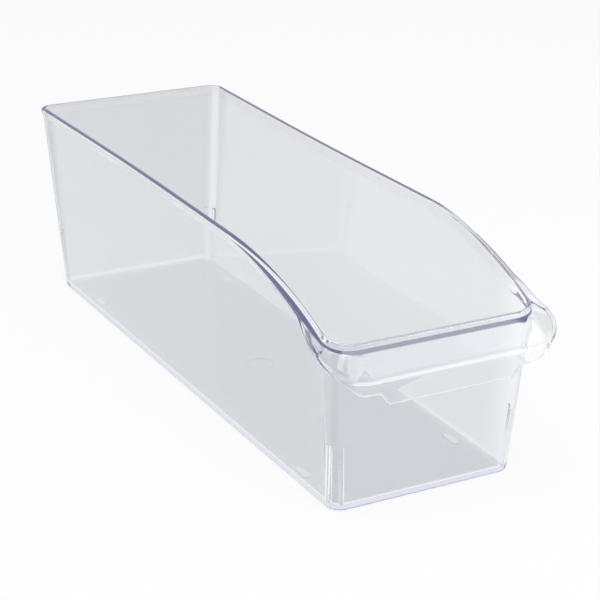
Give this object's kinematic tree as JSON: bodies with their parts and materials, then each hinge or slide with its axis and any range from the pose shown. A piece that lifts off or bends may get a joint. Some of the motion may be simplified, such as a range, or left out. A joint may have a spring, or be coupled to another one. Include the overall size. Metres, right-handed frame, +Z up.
{
  "type": "fridge organizer",
  "caption": "Long narrow clear moulded bin for a fridge shelf: drafted walls, a rim that sweeps down to a lower front, and a hooded pull wrapped round the front.",
  "frame": {"origin": "on the shelf surface, under the middle of the bin's overall length and width", "axes": "+Y from the pull at the front to the back wall, +X across, +Z up"},
  "size_m": [0.1066, 0.3079, 0.094],
  "materials": {
    "clear_plastic": "clear, polished"
  },
  "bodies": {
    "root": {"tub": "clear_plastic", "rim_bead": "clear_plastic", "pull_handle": "clear_plastic", "foot_front_left": "clear_plastic", "foot_front_right": "clear_plastic", "foot_back_left": "clear_plastic", "foot_back_right": "clear_plastic"}
  },
  "joints": []
}
